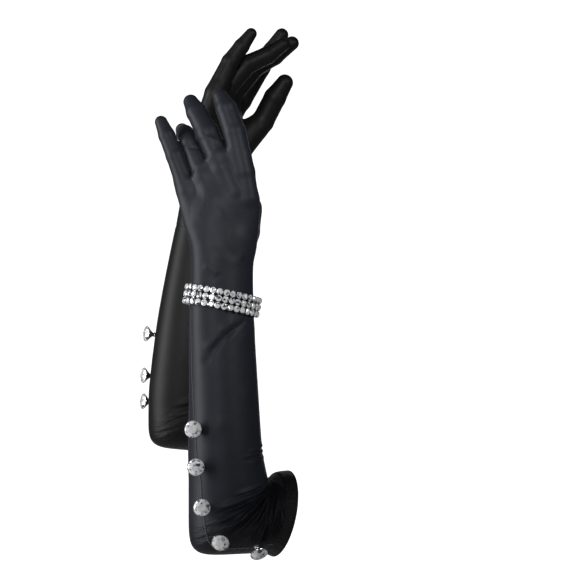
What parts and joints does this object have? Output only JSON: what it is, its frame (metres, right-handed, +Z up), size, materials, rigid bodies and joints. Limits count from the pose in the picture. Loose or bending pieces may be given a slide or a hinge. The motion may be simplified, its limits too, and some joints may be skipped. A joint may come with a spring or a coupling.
{
  "type": "opera gloves",
  "caption": "Pair of long satin opera gloves with bent elbows, crystal shank buttons along the side seams and a loose rhinestone bracelet.",
  "frame": {"origin": "centre of the left glove's arm opening, in the plane of its rim", "axes": "+Z up along the left forearm, +X towards the wearer's upper arms, +Y from the left glove to the right glove"},
  "size_m": [0.1652, 0.3166, 0.5206],
  "materials": {
    "satin_left": "stretch satin, bluish black",
    "satin_right": "stretch satin, black",
    "seam": "folded and stitched satin",
    "setting": "polished plated metal",
    "crystal": "cut glass with a foiled back"
  },
  "bodies": {
    "left_sleeve": {"left_hem": "seam", "left_sleeve_back": "satin_left", "left_sleeve_palm": "satin_left", "left_cuff_crystal": "crystal", "left_cuff_cup": "setting"},
    "left_elbow_cloth": {"left_elbow_fabric": "satin_left", "left_elbow_crystal": "crystal", "left_elbow_cup": "setting"},
    "left_forearm": {"left_forearm_back": "satin_left", "left_forearm_palm": "satin_left", "left_button_tape": "seam", "left_wrist_fabric": "satin_left", "left_forearm_crystals": "crystal", "left_forearm_cups": "setting"},
    "left_hand": {"left_hand_back": "satin_left", "left_hand_palm": "satin_left", "left_thumb_gusset": "satin_left"},
    "left_index_base": {"left_index_base": "satin_left"},
    "left_index_tip": {"left_index_tip": "satin_left"},
    "left_middle_base": {"left_middle_base": "satin_left"},
    "left_middle_tip": {"left_middle_tip": "satin_left"},
    "left_ring_base": {"left_ring_base": "satin_left"},
    "left_ring_tip": {"left_ring_tip": "satin_left"},
    "left_little_base": {"left_little_base": "satin_left"},
    "left_little_tip": {"left_little_tip": "satin_left"},
    "left_thumb_base": {"left_thumb_base": "satin_left"},
    "left_thumb_tip": {"left_thumb_tip": "satin_left"},
    "right_sleeve": {"right_hem": "seam", "right_sleeve_back": "satin_right", "right_sleeve_palm": "satin_right", "right_cuff_crystal": "crystal", "right_cuff_cup": "setting"},
    "right_elbow_cloth": {"right_elbow_fabric": "satin_right", "right_elbow_crystal": "crystal", "right_elbow_cup": "setting"},
    "right_forearm": {"right_forearm_back": "satin_right", "right_forearm_palm": "satin_right", "right_button_tape": "seam", "right_wrist_fabric": "satin_right", "right_forearm_crystals": "crystal", "right_forearm_cups": "setting"},
    "right_hand": {"right_hand_back": "satin_right", "right_hand_palm": "satin_right", "right_thumb_gusset": "satin_right"},
    "right_index_base": {"right_index_base": "satin_right"},
    "right_index_tip": {"right_index_tip": "satin_right"},
    "right_middle_base": {"right_middle_base": "satin_right"},
    "right_middle_tip": {"right_middle_tip": "satin_right"},
    "right_ring_base": {"right_ring_base": "satin_right"},
    "right_ring_tip": {"right_ring_tip": "satin_right"},
    "right_little_base": {"right_little_base": "satin_right"},
    "right_little_tip": {"right_little_tip": "satin_right"},
    "right_thumb_base": {"right_thumb_base": "satin_right"},
    "right_thumb_tip": {"right_thumb_tip": "satin_right"},
    "bracelet": {"bracelet_band": "setting", "bracelet_stones": "crystal"}
  },
  "joints": [
    {"name": "gloves_apart", "type": "slide", "parent": "left_sleeve", "child": "right_sleeve", "axis": [0, 1, 0], "range_m": [0, 0.3]},
    {"name": "left_elbow", "type": "hinge", "parent": "left_sleeve", "child": "left_forearm", "pos_m": [-0.04886, -0.01779, 0.002], "axis": [-0.342, 0.9397, 0], "range_deg": [-92, 8]},
    {"name": "left_elbow_slack", "type": "hinge", "parent": "left_sleeve", "child": "left_elbow_cloth", "pos_m": [-0.04886, -0.01779, 0.002], "axis": [-0.342, 0.9397, 0], "range_deg": [-46, 4], "deforming": ["left_elbow_fabric"]},
    {"name": "left_wrist", "type": "hinge", "parent": "left_forearm", "child": "left_hand", "pos_m": [-0.05377, -0.0201, 0.236], "axis": [-0.9848, -0.1736, 0], "range_deg": [-18, 18], "deforming": ["left_wrist_fabric"]},
    {"name": "left_index_knuckle", "type": "hinge", "parent": "left_hand", "child": "left_index_base", "pos_m": [-0.03442, -0.0253, 0.316], "axis": [-0.9475, 0.2257, -0.2263], "range_deg": [-6, 30]},
    {"name": "left_index_joint", "type": "hinge", "parent": "left_index_base", "child": "left_index_tip", "pos_m": [-0.04271, -0.02299, 0.353], "axis": [-0.91, 0.2168, -0.3534], "range_deg": [-8, 40]},
    {"name": "left_middle_knuckle", "type": "hinge", "parent": "left_hand", "child": "left_middle_base", "pos_m": [-0.05254, -0.02231, 0.32], "axis": [-0.8688, 0.207, -0.4499], "range_deg": [-6, 30]},
    {"name": "left_middle_joint", "type": "hinge", "parent": "left_middle_base", "child": "left_middle_tip", "pos_m": [-0.06792, -0.01514, 0.353], "axis": [-0.8258, 0.1967, -0.5285], "range_deg": [-8, 36]},
    {"name": "left_ring_knuckle", "type": "hinge", "parent": "left_hand", "child": "left_ring_base", "pos_m": [-0.07005, -0.01805, 0.312], "axis": [-0.8695, 0.2071, -0.4484], "range_deg": [-6, 30]},
    {"name": "left_ring_joint", "type": "hinge", "parent": "left_ring_base", "child": "left_ring_tip", "pos_m": [-0.08424, -0.00831, 0.344], "axis": [-0.6729, 0.1603, -0.7222], "range_deg": [-10, 3]},
    {"name": "left_little_knuckle", "type": "hinge", "parent": "left_hand", "child": "left_little_base", "pos_m": [-0.08569, -0.0131, 0.3], "axis": [-0.9062, 0.2159, -0.3635], "range_deg": [-6, 5]},
    {"name": "left_little_joint", "type": "hinge", "parent": "left_little_base", "child": "left_little_tip", "pos_m": [-0.09808, -0.01122, 0.332], "axis": [-0.8912, 0.2123, -0.4008], "range_deg": [-8, 18]},
    {"name": "left_thumb_knuckle", "type": "hinge", "parent": "left_hand", "child": "left_thumb_base", "pos_m": [-0.02931, 0.00742, 0.286], "axis": [-0.8971, 0.2137, -0.3866], "range_deg": [-8, 25]},
    {"name": "left_thumb_joint", "type": "hinge", "parent": "left_thumb_base", "child": "left_thumb_tip", "pos_m": [-0.03572, 0.02212, 0.309], "axis": [-0.8515, 0.2028, -0.4836], "range_deg": [-5, 35]},
    {"name": "right_elbow", "type": "hinge", "parent": "right_sleeve", "child": "right_forearm", "pos_m": [-0.09726, 0.19721, 0.07994], "axis": [-0.3395, 0.9397, 0.0417], "range_deg": [-92, 8]},
    {"name": "right_elbow_slack", "type": "hinge", "parent": "right_sleeve", "child": "right_elbow_cloth", "pos_m": [-0.09726, 0.19721, 0.07994], "axis": [-0.3395, 0.9397, 0.0417], "range_deg": [-46, 4], "deforming": ["right_elbow_fabric"]},
    {"name": "right_wrist", "type": "hinge", "parent": "right_forearm", "child": "right_hand", "pos_m": [-0.07394, 0.19584, 0.31284], "axis": [0.8596, 0.5, -0.1055], "range_deg": [-18, 18], "deforming": ["right_wrist_fabric"]},
    {"name": "right_index_knuckle", "type": "hinge", "parent": "right_hand", "child": "right_index_base", "pos_m": [-0.04212, 0.2261, 0.40565], "axis": [0.3553, 0.921, -0.1594], "range_deg": [-6, 4]},
    {"name": "right_index_joint", "type": "hinge", "parent": "right_index_base", "child": "right_index_tip", "pos_m": [-0.0223, 0.22431, 0.43949], "axis": [0.36, 0.9238, -0.1307], "range_deg": [-8, 12]},
    {"name": "right_middle_knuckle", "type": "hinge", "parent": "right_hand", "child": "right_middle_base", "pos_m": [-0.05348, 0.20491, 0.40704], "axis": [0.3448, 0.913, -0.2181], "range_deg": [-2, 15]},
    {"name": "right_middle_joint", "type": "hinge", "parent": "right_middle_base", "child": "right_middle_tip", "pos_m": [-0.02856, 0.20295, 0.43824], "axis": [0.2805, 0.833, -0.4768], "range_deg": [-8, 9]},
    {"name": "right_ring_knuckle", "type": "hinge", "parent": "right_hand", "child": "right_ring_base", "pos_m": [-0.06178, 0.18696, 0.40806], "axis": [0.3376, 0.9062, -0.2547], "range_deg": [-6, 30]},
    {"name": "right_ring_joint", "type": "hinge", "parent": "right_ring_base", "child": "right_ring_tip", "pos_m": [-0.035, 0.18569, 0.43903], "axis": [0.2626, 0.8054, -0.5313], "range_deg": [-3, 24]},
    {"name": "right_little_knuckle", "type": "hinge", "parent": "right_hand", "child": "right_little_base", "pos_m": [-0.06775, 0.17098, 0.40779], "axis": [0.3495, 0.9168, -0.1933], "range_deg": [-6, 30]},
    {"name": "right_little_joint", "type": "hinge", "parent": "right_little_base", "child": "right_little_tip", "pos_m": [-0.05233, 0.17193, 0.44015], "axis": [0.3364, 0.9049, -0.2607], "range_deg": [-8, 40]},
    {"name": "right_thumb_knuckle", "type": "hinge", "parent": "right_hand", "child": "right_thumb_base", "pos_m": [-0.02005, 0.2138, 0.38279], "axis": [0.3711, 0.9272, -0.0514], "range_deg": [-5, 25]},
    {"name": "right_thumb_joint", "type": "hinge", "parent": "right_thumb_base", "child": "right_thumb_tip", "pos_m": [-0.00704, 0.20996, 0.40739], "axis": [0.3678, 0.9267, -0.0765], "range_deg": [-8, 35]},
    {"name": "bracelet_slide", "type": "slide", "parent": "left_forearm", "child": "bracelet", "axis": [0, 0, 1], "range_m": [-0.015, 0.012]}
  ],
  "couplings": [
    {"joint": "left_elbow_slack", "follows": "left_elbow", "ratio": 0.5},
    {"joint": "right_elbow_slack", "follows": "right_elbow", "ratio": 0.5}
  ]
}
